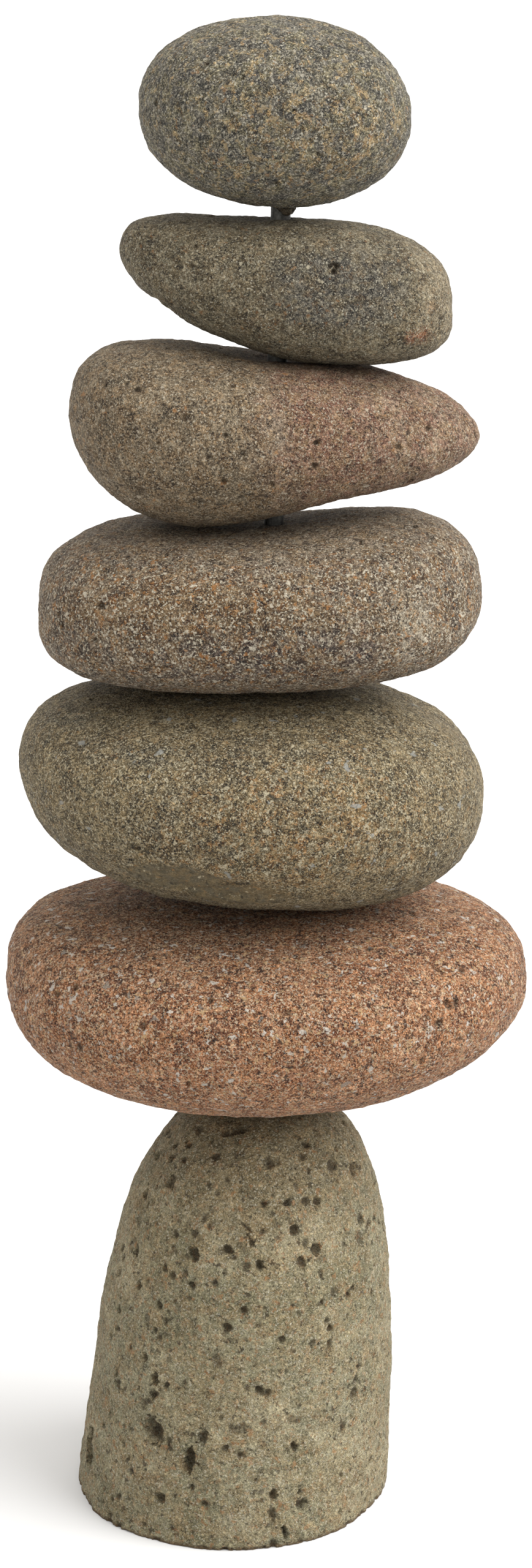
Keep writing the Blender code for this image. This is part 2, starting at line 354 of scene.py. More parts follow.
def pit_from(tree, start, direction, wide, tall, deep, lean=0.0):
    """A pit where a line from outside first meets the skin. Sizes in millimetres."""
    place, facing = tree.ray_cast(start, direction)[:2]
    if place is None:
        return None
    return Pit(place, facing, wide * MM, tall * MM, deep * MM, lean)


def front_pits(skin, rows):
    """Pits in the front, from rows of x, z, width, height, depth and lean."""
    tree = BVHTree.FromBMesh(skin)
    pits = [pit_from(tree, Vector((row[0] * MM, -1, row[1] * MM)), Vector((0, 1, 0)), *row[2:])
            for row in rows]
    return [pit for pit in pits if pit]


def scattered_pits(skin, sort, draw):
    """Small pits all over, most near the smallest width. The sort gives number, widths, depth."""
    count, smallest, largest, depth = sort
    pits = []
    for vert in draw.sample(skin.verts[:], count):
        wide = smallest + (largest - smallest) * draw.random() ** 3
        tall = wide * draw.uniform(*PIT_TALLNESS)
        deep = wide * draw.uniform(*PIT_DEPTH) * depth
        pits.append(Pit(vert.co.copy(), vert.normal.copy(), wide * MM, tall * MM, deep * MM,
                        draw.uniform(-PIT_LEAN, PIT_LEAN)))
    return pits


# %% [markdown]
# ## The foot stone
#
# The foot is one end of a long cobble of pitted lava, sawn off square. Its wall is first
# drawn out below the saw cut, so that the rounding can't soften the rim. After the pits are
# sunk it is cut again at height 0, which leaves the crisp, slightly chipped edge of a saw.

# %% Foot stone: pits
FOOT_LEAN = 0.066           # sideways shift of the stone's middle per unit of height
FOOT_CELL = 1.5
FOOT_SPARE = 30 * MM        # drawn out below the cut
FOOT_ALLOWANCE = 4 * MM     # left below the cut until the pits are sunk
FOOT_WAVES = ((38, 0.9), (13, 0.6), (5.0, 0.5), (2.4, 0.35))

# Degrees round from the front, height, width, height and depth of the opening, lean.
FOOT_PITS = (
    (-33, 57, 10.0, 16.0, 5.0, 28), (-18, 46, 6.8, 14.0, 5.5, -8), (-14, 58, 5.5, 7.5, 3.0, -20),
    (-72, 28, 10.0, 19.0, 7.0, 6), (-35, 83, 5.0, 6.5, 4.0, 20), (-35, 75, 4.0, 4.5, 3.0, -30),
    (-30, 81, 3.2, 4.5, 2.5, -20), (6, 83, 3.6, 5.5, 3.5, 35), (13, 28, 4.5, 7.0, 3.5, 10),
    (13, 18, 5.0, 8.0, 2.5, 15), (24, 21, 6.0, 6.0, 4.0, 0), (18, 8, 3.8, 8.5, 4.0, 22),
    (-28, 23, 5.5, 5.5, 2.8, -25), (20, 52, 2.8, 6.5, 3.0, 22), (-11, 24, 4.0, 3.6, 2.0, -20),
    (-16, 32, 2.4, 2.8, 2.2, 0), (-8, 115, 5.5, 5.5, 3.2, -30), (-25, 149, 6.5, 6.5, 3.8, -30),
    (-11, 153, 5.5, 4.0, 3.0, -20), (3, 146, 3.8, 5.5, 3.5, 10), (-24, 134, 4.0, 4.0, 2.8, 0),
    (-2, 124, 4.0, 3.6, 2.8, 0), (18, 161, 4.2, 5.0, 3.2, 0), (15, 174, 3.8, 4.8, 3.0, -40),
    (4, 174, 4.0, 4.0, 2.6, 0), (-49, 177, 7.0, 8.0, 2.4, -35), (62, 180, 6.5, 6.5, 2.2, 0),
    (46, 185, 7.0, 8.0, 1.6, -20), (7, 191, 5.5, 6.0, 1.8, 0), (-16, 203, 7.0, 5.0, 2.6, 0),
    (-4, 164, 1.3, 9.0, 1.3, 48), (-2, 159, 1.3, 5.0, 1.1, 35), (28, 150, 5.0, 5.0, 2.6, 0),
    (21, 145, 4.5, 6.0, 2.6, 30), (-51, 125, 3.6, 5.0, 2.2, 0), (-56, 77, 4.0, 4.5, 2.4, 0),
    (-41, 92, 3.4, 4.2, 2.2, 0), (34, 109, 3.4, 4.0, 1.8, 0), (57, 156, 4.0, 5.0, 2.0, 0),
    (42, 55, 4.5, 4.0, 1.4, 0), (-62, 108, 3.6, 6.0, 2.4, 0), (-64, 92, 3.4, 5.0, 2.2, 0),
    (-58, 140, 4.0, 7.0, 2.2, 12), (-38, 120, 3.0, 5.0, 2.2, 8), (128, 96, 7.0, 8.0, 4.0, 0),
    (171, 41, 8.0, 12.0, 5.0, 15), (-152, 118, 6.0, 8.0, 4.0, -10),
)

# %% Foot stone: shape
# Number of seeded pits, their least and greatest width, and the share of the usual depth.
FINE_PITS = (700, 1.7, 4.4, 1.0)
SHALLOW_PITS = (150, 3.0, 6.5, 0.35)
WIDE_PITS = (80, 3.5, 8.0, 0.7)
BACK_FROM = 0.1             # faces that turn this far to the back take the wide pits
CHIPS = 70
CHIP_BAND = 1.2 * MM
CHIP_WIDTH = (1.6, 5.0)
CHIP_FLATNESS = 0.6         # a chip's height, as a share of its width
CHIP_DEPTH = (0.5, 1.3)
CHIP_LEAN = 20              # most degrees either way


def foot_skin():
    shell = uncut_shell("foot_stone")
    fill_openings(shell, lowest=MM)
    rim = [edge for edge in shell.edges if edge.is_boundary]
    drawn = bmesh.ops.extrude_edge_only(shell, edges=rim)["geom"]
    low_points = [piece for piece in drawn if isinstance(piece, bmesh.types.BMVert)]
    bmesh.ops.translate(shell, verts=low_points, vec=(0, 0, -FOOT_SPARE))
    fill_openings(shell)
    skin = even_skin(shell, FOOT_CELL)
    everything = skin.verts[:] + skin.edges[:] + skin.faces[:]
    bmesh.ops.bisect_plane(skin, geom=everything, plane_co=(0, 0, -FOOT_ALLOWANCE), plane_no=UP,
                           clear_inner=True)
    return skin


def rim_chips(skin, draw):
    """Shallow dents where the saw broke grains out of the rim."""
    rim = [vert for vert in skin.verts if abs(vert.co.z) < CHIP_BAND]
    chips = []
    for vert in draw.sample(rim, CHIPS):
        wide = draw.uniform(*CHIP_WIDTH)
        chips.append(Pit(vert.co.copy(), vert.normal.copy(), wide * MM, wide * CHIP_FLATNESS * MM,
                         draw.uniform(*CHIP_DEPTH) * MM, draw.uniform(-CHIP_LEAN, CHIP_LEAN)))
    return chips


def foot_pits(skin, draw):
    tree = BVHTree.FromBMesh(skin)
    pits = scattered_pits(skin, FINE_PITS, draw) + rim_chips(skin, draw)
    pits += scattered_pits(skin, SHALLOW_PITS, draw)
    for turn, height, *size in FOOT_PITS:
        inward = Vector((-math.sin(math.radians(turn)), math.cos(math.radians(turn)), 0))
        middle = Vector((FOOT_LEAN * height, 0, height)) * MM
        pits.append(pit_from(tree, middle - inward, inward, *size))
    wide_pits = scattered_pits(skin, WIDE_PITS, draw)
    return pits + [pit for pit in wide_pits if pit.facing.y > BACK_FROM]


def saw_flat(skin):
    everything = skin.verts[:] + skin.edges[:] + skin.faces[:]
    cut = bmesh.ops.bisect_plane(skin, geom=everything, plane_co=(0, 0, 0), plane_no=UP,
                                 clear_inner=True)
    rim = [piece for piece in cut["geom_cut"] if isinstance(piece, bmesh.types.BMEdge)]
    bmesh.ops.edgeloop_fill(skin, edges=rim)


# %% [markdown]
# ## The rod's hole
#
# The rod goes through five stones and ends inside two. Every skin is drilled with the same
# slightly leaning cylinder, by a Boolean modifier that is applied at once. The rod's own
# node gives the axis: the middles of its two end rings.

# %% Drill
HOLE_WIDTH = 10.1
HOLE_SIDES = 48


def rod_ends():
    """The middles of the rod's lower and upper end."""
    low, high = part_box("rod")
    spots = [vert.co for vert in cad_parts["rod"].data.vertices]
    middle_height = (low.z + high.z) / 2
    lower = [spot for spot in spots if spot.z < middle_height]
    upper = [spot for spot in spots if spot.z > middle_height]
    return [sum(group, Vector()) / len(group) for group in (lower, upper)]


def cylinder(diameter, bottom, top, sides):
    """A cylinder between two points, in metres."""
    axis = top - bottom
    place = Matrix.Translation((bottom + top) / 2) @ axis.to_track_quat("Z", "Y").to_matrix().to_4x4()
    mesh = bmesh.new()
    bmesh.ops.create_cone(mesh, cap_ends=True, segments=sides, depth=axis.length,
                          radius1=diameter / 2, radius2=diameter / 2, matrix=place)
    return mesh


rod_low, rod_high = rod_ends()
hole_mesh = cylinder(HOLE_WIDTH * MM, rod_low, rod_high, HOLE_SIDES)
drill = add_object(hole_mesh, "drill")


def drilled(skin):
    thing = add_object(skin, "undrilled")
    bore = thing.modifiers.new("bore", "BOOLEAN")
    bore.operation = "DIFFERENCE"
    bore.solver = "MANIFOLD"
    bore.object = drill
    return applied(thing)


print("rod from", [round(c / MM, 1) for c in rod_low], "to", [round(c / MM, 1) for c in rod_high])

# %% [markdown]
# ## Finishes written as sums
#
# A rock's colour is a stack of simple things: a ground tone that drifts, grains, crystals
# and stains. Each is a few nodes, and linking hundreds of nodes by hand hides the idea.
# So one small class wraps a socket, and sums on it add the Math nodes. Lengths in every
# finish are millimetres on the stone itself, because the pattern reads Object coordinates.

# %% Shader sums
SHADED = 0.49               # the paint's share of how bright the lit stone looks


def tone(red, green, blue):
    """A colour as it looks when lit, 0 to 255, in the linear light that shaders use."""
    return tuple((part / 255) ** 2.2 * SHADED for part in (red, green, blue))


# Painted shade in the pits: the deeper a point lies in its pit, the more its colour goes to this dark
# brown.
PIT_DARKNESS = 0.75
PIT_SHADE_COLOUR = tone(60, 47, 33)
SPECULAR = 0.3
JAGGED_LENGTH = 0.9         # of the noise that makes every pattern's edges jagged
JAGGED_BY = 0.5
SPECK_EDGE = 0.02           # half the band of noise over which a speck fades


class Wire:
    """A shader socket that can stand in a sum, as a number can."""

    def __init__(self, recipe, socket):
        self.recipe = recipe
        self.socket = socket

    def __add__(self, other):
        return self.recipe.sum("ADD", self, other)

    def __sub__(self, other):
        return self.recipe.sum("SUBTRACT", self, other)

    def __rsub__(self, other):
        return self.recipe.sum("SUBTRACT", other, self)

    def __mul__(self, other):
        return self.recipe.sum("MULTIPLY", self, other)

    def __lt__(self, other):
        return self.recipe.sum("LESS_THAN", self, other)

    __radd__ = __add__
    __rmul__ = __mul__


class Recipe:
    """The nodes of one finish, with a few ready patterns measured in millimetres."""

    def __init__(self, name):
        self.material = bpy.data.materials.new(name)
        self.material.use_nodes = True
        self.tree = self.material.node_tree
        self.shader = self.tree.nodes["Principled BSDF"]
        place = self.node("ShaderNodeTexCoord", "Object")
        self.place = self.node("ShaderNodeMapping", "Vector",
                               sockets={"Vector": place, "Scale": (1 / MM,) * 3})
        self.jagged = self.shaken(JAGGED_LENGTH, JAGGED_BY)
        self.moves = 0

    def node(self, kind, output, settings=None, sockets=None):
        """A node of any type: its settings first, then its sockets' values or wires."""
        made = self.tree.nodes.new(kind)
        for name, value in (settings or {}).items():
            setattr(made, name, value)
        for name, value in (sockets or {}).items():
            self.feed(made.inputs[name], value)
        return Wire(self, made.outputs[output])

    def feed(self, socket, value):
        if isinstance(value, Wire):
            self.tree.links.new(value.socket, socket)
        elif socket.type == "RGBA":
            socket.default_value = (*value, 1.0)
        else:
            socket.default_value = value

    def sum(self, operation, first, second):
        return self.node("ShaderNodeMath", "Value", {"operation": operation},
                         {0: first, 1: second})

    def step(self, value, low, high):
        """0 on one side of a band of values and 1 on the other, smooth in between."""
        return self.node("ShaderNodeMapRange", "Result", {"interpolation_type": "SMOOTHSTEP"},
                         {"Value": value, "From Min": low, "From Max": high})

    def mix(self, share, first, second):
        return self.node("ShaderNodeMix", 2, {"data_type": "RGBA"}, {0: share, 6: first, 7: second})

    def shade(self, colour, value):
        """A colour times a value."""
        return self.node("ShaderNodeVectorMath", "Vector", {"operation": "SCALE"},
                         {0: colour, "Scale": value})

    def vector(self, operation, first, second):
        return self.node("ShaderNodeVectorMath", "Vector", {"operation": operation},
                         {0: first, 1: second})

    def noise(self, length, detail=2.0, roughness=0.5, at=None):
        """Soft noise around 0.5, with waves of this length."""
        return self.node("ShaderNodeTexNoise", "Fac", {},
                         {"Vector": at or self.place, "Scale": 1 / length, "Detail": detail,
                          "Roughness": roughness})

    def shaken(self, length, amount):
        """Places moved about by noise, which makes the edges of a pattern jagged."""
        push = self.node("ShaderNodeTexNoise", "Color", {},
                         {"Vector": self.place, "Scale": 1 / length, "Detail": 1.0})
        push = self.shade(self.vector("SUBTRACT", push, (0.5, 0.5, 0.5)), amount * 2)
        return self.vector("ADD", self.place, push)

    def turned(self, angles, stretch):
        """Places turned by angles in degrees, and stretched, for a grain with a direction."""
        return self.node("ShaderNodeMapping", "Vector", {"vector_type": "TEXTURE"},
                         {"Vector": self.jagged, "Rotation": tuple(map(math.radians, angles)),
                          "Scale": stretch})

    def specks(self, length, level, at=None, detail=2.0):
        """1 in ragged specks about this long and 0 elsewhere. The higher the level, the fewer."""
        self.moves += 1
        moved = self.vector("ADD", at or self.jagged, (17.0 * self.moves, 5.0, 29.0))
        field = self.noise(length, detail, 0.6, moved)
        return self.step(field - level, -SPECK_EDGE, SPECK_EDGE)

    def spot(self, place, size, edge=0.5, ragged=0.9):
        """1 near a place and 0 away from it, with a ragged edge."""
        middle = tuple(-where / side for where, side in zip(place, size))
        scale = tuple(1 / side for side in size)
        local = self.node("ShaderNodeMapping", "Vector", {},
                          {"Vector": self.place, "Location": middle, "Scale": scale})
        away = self.node("ShaderNodeVectorMath", "Value", {"operation": "LENGTH"}, {0: local})
        ripple = self.noise(min(size) * 0.5, detail=4.0, roughness=0.65) - 0.5
        return self.step(away + ripple * ragged, 1 + edge, 1 - edge)

    def finish(self, colour, relief, roughness):
        """Feeds the shader: pits get painted shade, and the relief in millimetres becomes bump."""
        hollow = self.node("ShaderNodeAttribute", "Fac", {"attribute_name": "hollow"})
        self.feed(self.shader.inputs["Base Color"],
                  self.mix(hollow * PIT_DARKNESS, colour, PIT_SHADE_COLOUR))
        self.feed(self.shader.inputs["Roughness"], roughness)
        self.feed(self.shader.inputs["Specular IOR Level"], SPECULAR)
        bump = self.node("ShaderNodeBump", "Normal", {},
                         {"Height": relief, "Distance": MM, "Strength": 1.0})
        self.feed(self.shader.inputs["Normal"], bump)
        return self.material


# %% [markdown]
# ## Layers that every rock shares
#
# All seven rocks are built up in the same order: a drifting ground tone, crystals and pores,
# then fine grain. One picture of stone could stand for each, but sums of noise hold up from
# every side and at every distance, and one set of layers keeps the rocks akin.

# %% Layers that every rock shares
GRAIN_GREY = tone(118, 112, 98)     # the colour of the grain is mixed part of the way to this
DARKEST = tone(34, 29, 23)


def drifting(recipe, dark, light, length, detail=4.0):
    """A ground tone that drifts between two colours."""
    drift = recipe.noise(length, detail, 0.6)
    return recipe.mix(recipe.step(drift, 0.36, 0.64), dark, light)


def flecked(recipe, colour, relief, rows):
    """Crystals and pores, from rows of colour, length, level, strength and rise."""
    for fleck, length, level, strength, rise in rows:
        mask = recipe.specks(length, level)
        colour = recipe.mix(mask * strength, colour, fleck)
        relief = relief + mask * rise
    return colour, relief


def grained(recipe, colour, relief, contrast, warm, size=1.0):
    """Light grains that stand proud and dark ones that lie low. Returns colour and relief."""
    grit = recipe.step(recipe.noise(0.46 * size, 1.0), 0.36, 0.64) - 0.5
    light = recipe.specks(1.0 * size, 0.565)
    light_lump = recipe.specks(2.1 * size, 0.58)
    dark = recipe.specks(1.1 * size, 0.6)
    dark_lump = recipe.specks(2.3 * size, 0.62)
    swell = recipe.noise(3.6 * size, 3.0, 0.65, recipe.jagged) - 0.5
    patch = recipe.step(recipe.noise(9.0 * size, 4.0, 0.65), 0.36, 0.64) - 0.5
    tint = recipe.step(recipe.noise(6.0 * size, 4.0, 0.7), 0.42, 0.62)
    colour = recipe.mix(tint * 0.6, colour, warm)
    value = (grit * 0.8 + light * 0.8 + light_lump * 0.6 - dark * 0.35 - dark_lump * 0.3
             + swell * 0.85 + patch * 0.35 - 0.18)
    lift = recipe.shade(recipe.mix(0.4, colour, GRAIN_GREY), value * contrast)
    colour = recipe.vector("MAXIMUM", recipe.vector("ADD", colour, lift), DARKEST)
    relief = (relief + grit * 0.14 + (light - dark) * 0.28 + light_lump * 0.25 - dark_lump * 0.4
              + swell * 2.8)
    return colour, relief


# %% [markdown]
# ## The finish of each rock
# ### Foot stone
#
# Lava with a greenish beige ground, warmer and paler in broad patches. Its top has painted
# brown shade, under the red stone.
# White and orange grains, one to four millimetres long, are strewn through it.

# %% Foot stone: finish
SAWN_BELOW = 0.05           # height in millimetres under which the surface is the saw's


def foot_finish():
    rock = Recipe("pitted_lava")
    height = rock.node("ShaderNodeSeparateXYZ", "Z", {}, {"Vector": rock.place})
    olive = drifting(rock, tone(143, 136, 105), tone(166, 159, 128), 34)
    tan = drifting(rock, tone(166, 152, 117), tone(193, 181, 146), 17)
    warm = rock.step(rock.noise(46, 3.0, 0.6), 0.45, 0.61)
    colour = rock.mix(warm * 0.75, olive, tan)
    # Painted shade: the top is darkened and browned where the red stone above shades it.
    crown_shade = rock.spot((14, -20, 205), (70, 90, 48))
    colour = rock.mix(crown_shade * 0.6, colour, tone(124, 107, 79))
    rust = rock.step(rock.noise(13, 4.0, 0.7), 0.54, 0.7)
    colour = rock.mix(rust * 0.55, colour, tone(150, 118, 80))
    colour, relief = flecked(rock, colour, 0.0, (
        (tone(178, 140, 100), 3.4, 0.6, 0.5, 0.1),
        (tone(118, 106, 82), 4.0, 0.62, 0.35, -0.1),
    ))
    colour, relief = grained(rock, colour, relief, 0.85, tone(168, 148, 110), 1.1)
    colour, relief = flecked(rock, colour, relief, (
        (tone(222, 214, 190), 1.0, 0.61, 0.75, 0.1),
        (tone(226, 212, 180), 3.4, 0.68, 0.65, 0.2),
        (tone(184, 132, 84), 4.4, 0.66, 0.55, 0.1),
        (tone(70, 58, 42), 3.2, 0.66, 0.7, -0.6),
    ))
    rim = rock.step(height + rock.noise(3.0) * 3.0, 4.2, 2.0)
    colour = rock.mix(rim * 0.7, colour, tone(110, 84, 56))
    sawn = height < SAWN_BELOW
    colour = rock.mix(sawn * 0.6, colour, tone(150, 144, 128))
    return rock.finish(colour, relief * (1.0 - sawn * 0.85), 0.9)


# %% [markdown]
# ### Red stone
#
# Terracotta rock. Its top is painted browner and darker as shade from the olive stone, the
# middle of its front has painted shade and its lower part painted light. Dark brown, grey,
# cream and white crystals, and tiny open pores that give its outline some tooth.

# %% Red stone: finish
def red_finish():
    rock = Recipe("terracotta_rock")
    colour = drifting(rock, tone(153, 103, 72), tone(177, 128, 94), 26)
    brown = rock.step(rock.noise(9, 4.0, 0.7), 0.5, 0.66)
    colour = rock.mix(brown * 0.5, colour, tone(132, 88, 62))
    # Painted shade: the top is darkened and browned where the olive stone above shades it.
    crown_shade = rock.spot((-50, 10, 318), (95, 110, 34))
    colour = rock.mix(crown_shade * 0.55, colour, tone(126, 100, 78))
    # Painted shade across the middle of the front, and painted light low on the stone, where the white
    # floor would throw light up.
    front = rock.spot((10, -118, 290), (50, 50, 30), 0.5, 0.6)
    below = rock.spot((10, -30, 238), (130, 130, 32), 0.4, 0.4)
    colour = rock.shade(colour, 1.0 - front * 0.12 + below * 0.2)
    colour, relief = flecked(rock, colour, 0.0, (
        (tone(208, 174, 136), 3.2, 0.59, 0.6, 0.1),
        (tone(104, 70, 54), 3.4, 0.61, 0.6, -0.1),
    ))
    colour, relief = grained(rock, colour, relief, 1.6, tone(178, 121, 77), 1.1)
    colour, relief = flecked(rock, colour, relief, (
        (tone(230, 208, 178), 1.1, 0.585, 0.85, 0.1),
        (tone(232, 194, 142), 3.2, 0.65, 0.7, 0.15),
        (tone(60, 40, 32), 3.0, 0.645, 0.8, -0.5),
        (tone(236, 226, 212), 4.6, 0.655, 0.85, 0.2),
        (tone(172, 168, 158), 7.0, 0.69, 0.6, 0.2),
    ))
    return rock.finish(colour, relief, 0.86)


# %% [markdown]
# ### Olive stone
#
# Fine olive grey rock. Golden and orange crystals gather in a broad field in the middle,
# grey bruises lie above on the left, and the shoulder at the lower left is ground darker.

# %% Olive stone: finish
def olive_finish():
    rock = Recipe("olive_rock")
    colour = drifting(rock, tone(111, 98, 73), tone(134, 120, 90), 30)
    field = rock.spot((30, -92, 370), (58, 60, 32), 0.6, 1.4)
    gold = rock.step(rock.noise(7, 4.0, 0.7), 0.42, 0.6)
    colour = rock.mix(gold * (field * 0.6 + 0.15), colour, tone(146, 112, 66))
    # Painted shade across the middle of the front.
    front = rock.spot((5, -95, 385), (44, 44, 30), 0.5, 0.6)
    colour = rock.shade(colour, 1.0 - front * 0.24)
    # Painted light on the top, where the loaf stone above shades it.
    top = rock.spot((20, -30, 420), (80, 60, 14), 0.5, 0.6)
    colour = rock.shade(colour, 1.0 + top * 0.25)
    leaning = rock.specks(1.2, 0.58, rock.turned((0, 52, 0), (1.0, 1.0, 3.6)))
    colour = rock.mix(leaning * 0.35, colour, tone(176, 164, 132))
    for place, size in (((-38, -72, 403), (18, 14, 4)), ((-78, -30, 411), (20, 20, 3.5))):
        bruise = rock.spot(place, size, 0.4, 1.2)
        colour = rock.mix(bruise * 0.6, colour, tone(96, 91, 77))
    left = rock.spot((-26, -76, 345), (24, 24, 8), 0.25, 0.5)
    right = rock.spot((3, -72, 336), (24, 24, 7), 0.25, 0.5)
    smooth = rock.sum("MAXIMUM", left, right)
    colour, relief = flecked(rock, colour, 0.0, (
        (tone(178, 132, 82), 3.0, 0.68 - field * 0.1, 0.6, 0.1),
        (tone(158, 150, 126), 4.5, 0.61, 0.45, 0.1),
        (tone(82, 74, 57), 4.0, 0.61, 0.45, -0.1),
    ))
    colour = rock.mix(smooth * 0.7, colour, tone(100, 93, 76))
    colour, relief = grained(rock, colour, relief, 1.65 - smooth * 1.2, tone(142, 122, 86))
    colour, relief = flecked(rock, colour, relief, (
        (tone(228, 216, 184), 1.0, 0.6 + smooth * 0.12, 0.85, 0.1),
        (tone(184, 138, 84), 3.6, 0.69 - field * 0.05, 0.5, 0.1),
        (tone(226, 212, 178), 3.2, 0.69 - field * 0.05, 0.8, 0.15),
        (tone(182, 183, 176), 8.0, 0.69 + smooth * 0.15, 0.75, 0.2),
        (tone(54, 48, 37), 3.4, 0.66, 0.7, -0.4),
    ))
    return rock.finish(colour, relief * (1.0 - smooth * 0.6), 0.8)


# %% [markdown]
# ### Loaf stone
#
# Warm brown rock with a mauve cast. White and orange crystals crowd its front, the top band
# is lightened with painted light where the stone above shades it, painted shade darkens the
# middle of the front, and a whitish bloom runs over the ridge at the right end.

# %% Loaf stone: finish
def loaf_finish():
    rock = Recipe("mauve_brown_rock")
    colour = drifting(rock, tone(107, 93, 79), tone(127, 112, 95), 24)
    # Painted light: the top band is lightened where the stone above shades it.
    top = rock.spot((10, 0, 512), (120, 110, 26), 0.35, 0.6)
    colour = rock.mix(top * 0.75, colour, tone(146, 129, 108))
    bloom = rock.spot((82, -62, 460), (13, 22, 17), 0.5, 1.3)
    colour = rock.mix(bloom * 0.6, colour, tone(182, 170, 148))
    gold = rock.spot((-20, -82, 472), (62, 40, 13), 0.6, 1.6)
    colour = rock.mix(gold * 0.6, colour, tone(138, 108, 70))
    mauve = rock.spot((28, -84, 450), (58, 40, 12), 0.6, 1.6)
    colour = rock.mix(mauve * 0.6, colour, tone(104, 90, 86))
    # Painted shade across the middle of the front.
    middle = rock.spot((5, -86, 460), (62, 40, 18), 0.5, 0.8)
    colour = rock.shade(colour, 1.0 - middle * 0.3)
    for place, size in (((-70, -48, 470), (9, 14, 8)), ((-40, -75, 462), (8, 12, 6)),
                        ((44, -78, 445), (12, 14, 5)), ((-58, -60, 488), (10, 12, 4))):
        colour = rock.mix(rock.spot(place, size, 0.6, 1.8) * 0.5, colour, tone(98, 74, 50))
    # Everything under the band of painted light on the top.
    front = 1.0 - top
    stain = rock.step(rock.noise(8, 4.0, 0.7), 0.54, 0.68)
    colour = rock.mix(stain * (front * 0.45 + 0.25), colour, tone(144, 98, 50))
    colour, relief = flecked(rock, colour, 0.0, (
        (tone(158, 112, 64), 4.6, 0.65 - front * 0.05, 0.6, 0.1),
        (tone(182, 166, 138), 4.2, 0.6, 0.45, 0.1),
        (tone(88, 64, 50), 3.6, 0.61, 0.55, -0.1),
    ))
    colour, relief = grained(rock, colour, relief, 1.35, tone(134, 108, 74), 1.1)
    colour, relief = flecked(rock, colour, relief, (
        (tone(230, 219, 194), 1.1, 0.615 - front * 0.03, 0.85, 0.1),
        (tone(192, 130, 68), 3.6, 0.69 - front * 0.03, 0.6, 0.1),
        (tone(234, 222, 198), 3.6, 0.7 - front * 0.04, 0.85, 0.2),
        (tone(64, 44, 34), 3.8, 0.665, 0.7, -0.5),
    ))
    return rock.finish(colour, relief, 0.82)


# %% [markdown]
# ### Tapered stone
#
# Two tones meet in it: olive tan on the blunt left half, pinkish mauve on the tapered right
# half. The grain is fine salt and pepper, with one pale patch where the tones meet.

# %% Tapered stone: finish
def tapered_finish():
    rock = Recipe("two_tone_rock")
    tan = drifting(rock, tone(122, 107, 85), tone(142, 126, 102), 22)
    pink = drifting(rock, tone(138, 108, 88), tone(164, 138, 115), 14)
    right = rock.spot((76, 0, 552), (66, 90, 70), 0.25, 0.6)
    colour = rock.mix(right, tan, pink)
    core = rock.spot((42, -56, 553), (24, 30, 26), 0.6, 1.4)
    colour = rock.mix(core * 0.55, colour, tone(130, 88, 68))
    streaks = rock.specks(1.0, 0.5, rock.turned((0, -30, 0), (4.0, 4.0, 12.0)), 3.0)
    colour = rock.mix(streaks * right * 0.5, colour, tone(144, 100, 80))
    pale = rock.spot((21, -58, 553), (6, 10, 8), 0.6, 1.8)
    colour = rock.mix(pale * 0.4, colour, tone(180, 168, 146))
    colour, relief = flecked(rock, colour, 0.0, (
        (tone(176, 142, 100), 3.2, 0.62, 0.45, 0.1),
        (tone(90, 76, 60), 3.4, 0.62, 0.45, -0.1),
    ))
    colour, relief = grained(rock, colour, relief, 1.3, tone(148, 121, 88))
    colour, relief = flecked(rock, colour, relief, (
        (tone(224, 211, 186), 0.9, 0.605, 0.8, 0.1),
        (tone(228, 214, 188), 3.2, 0.69, 0.75, 0.15),
        (tone(194, 138, 86), 3.8, 0.69, 0.55, 0.1),
        (tone(58, 43, 34), 2.8, 0.67, 0.75, -0.5),
    ))
    return rock.finish(colour, relief * 0.9, 0.82)


# %% [markdown]
# ### Wedge stone
#
# Blue grey on its broad face, olive brown to the left, buff at the right end, with rust
# stains along the top edge and at the lower right corner.

# %% Wedge stone: finish
def wedge_finish():
    rock = Recipe("grey_wedge_rock")
    colour = drifting(rock, tone(112, 102, 80), tone(131, 120, 97), 18)
    face = rock.spot((50, -44, 614), (32, 30, 20), 0.35, 0.8)
    colour = rock.mix(face * 0.85, colour, tone(100, 96, 88))
    buff = rock.spot((100, -24, 612), (15, 40, 32), 0.35, 0.8)
    colour = rock.mix(buff * 0.7, colour, tone(160, 144, 116))
    for place, size, stain, strength in (
            ((87, -33, 593), (6, 10, 3.5), tone(140, 80, 44), 0.9),
            ((93, -31, 606), (2.5, 8, 3), tone(146, 108, 70), 0.5),
            ((43, -38, 637), (5, 8, 2), tone(150, 112, 70), 0.4),
            ((12, -42, 600), (10, 12, 3), tone(98, 78, 54), 0.5)):
        colour = rock.mix(rock.spot(place, size, 0.6, 2.4) * strength, colour, stain)
    colour, relief = flecked(rock, colour, 0.0, (
        (tone(118, 90, 58), 3.4, 0.61, 0.45, 0.1),
        (tone(74, 70, 60), 3.6, 0.61, 0.45, -0.1),
        (tone(156, 148, 122), 3.6, 0.61, 0.45, 0.1),
    ))
    colour, relief = grained(rock, colour, relief, 1.25, tone(122, 106, 78))
    colour, relief = flecked(rock, colour, relief, (
        (tone(216, 208, 184), 0.9, 0.615, 0.8, 0.1),
        (tone(222, 210, 180), 3.2, 0.69, 0.7, 0.15),
        (tone(158, 110, 62), 4.0, 0.69, 0.5, 0.1),
        (tone(50, 44, 36), 3.2, 0.675, 0.65, -0.4),
    ))
    return rock.finish(colour, relief * 0.9, 0.8)


# %% [markdown]
# ### Cap stone
#
# Blue grey rock made of fine needles, all drawn the same way. Tan and orange crystals lie in
# short patches across the middle and the right.

